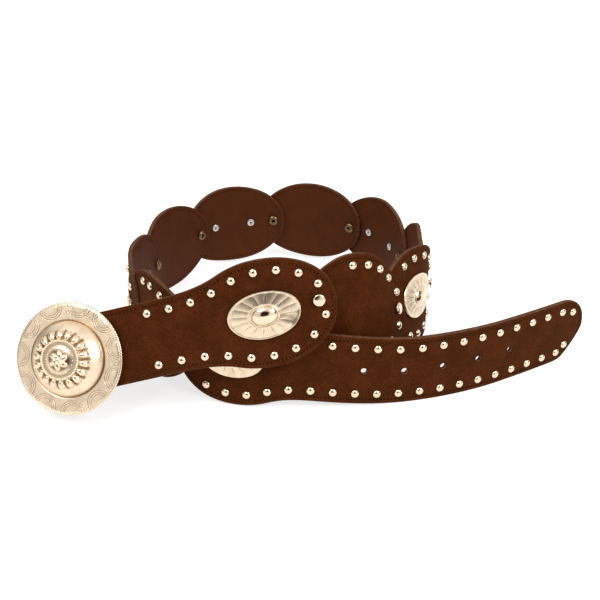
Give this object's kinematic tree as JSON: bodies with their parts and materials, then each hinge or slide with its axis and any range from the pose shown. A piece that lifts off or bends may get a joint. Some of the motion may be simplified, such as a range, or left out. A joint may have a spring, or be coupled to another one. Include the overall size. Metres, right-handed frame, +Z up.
{
  "type": "concho belt",
  "caption": "Leather belt of riveted oval links with domed studs, oval metal conchos, a domed disc buckle and a holed tip strap, lying on its edge as an open loop.",
  "frame": {"origin": "centre of the bounding box, on the surface that the belt rests on", "axes": "+Z up, +X from the buckle to the strap's tip, +Y away from the front"},
  "size_m": [0.358, 0.2578, 0.096],
  "materials": {
    "suede": "brushed brown suede outside, smooth dark brown inside",
    "gold_metal": "polished pale gold plating, worn in the engraving"
  },
  "bodies": {
    "root": {"buckle_plate": "suede", "link_1": "suede", "link_2": "suede", "link_3": "suede", "link_4": "suede", "link_5": "suede", "link_6": "suede", "link_7": "suede", "link_8": "suede", "link_9": "suede", "tip_plate": "suede", "buckle_disc": "gold_metal", "joint_rivet_1": "gold_metal", "joint_rivet_2": "gold_metal", "joint_rivet_3": "gold_metal", "joint_rivet_4": "gold_metal", "joint_rivet_5": "gold_metal", "joint_rivet_6": "gold_metal", "joint_rivet_7": "gold_metal", "joint_rivet_8": "gold_metal", "joint_rivet_9": "gold_metal", "joint_rivet_10": "gold_metal", "concho_buckle_plate": "gold_metal", "concho_2": "gold_metal", "concho_4": "gold_metal", "concho_6": "gold_metal", "concho_8": "gold_metal", "concho_tip_plate": "gold_metal"}
  },
  "joints": []
}
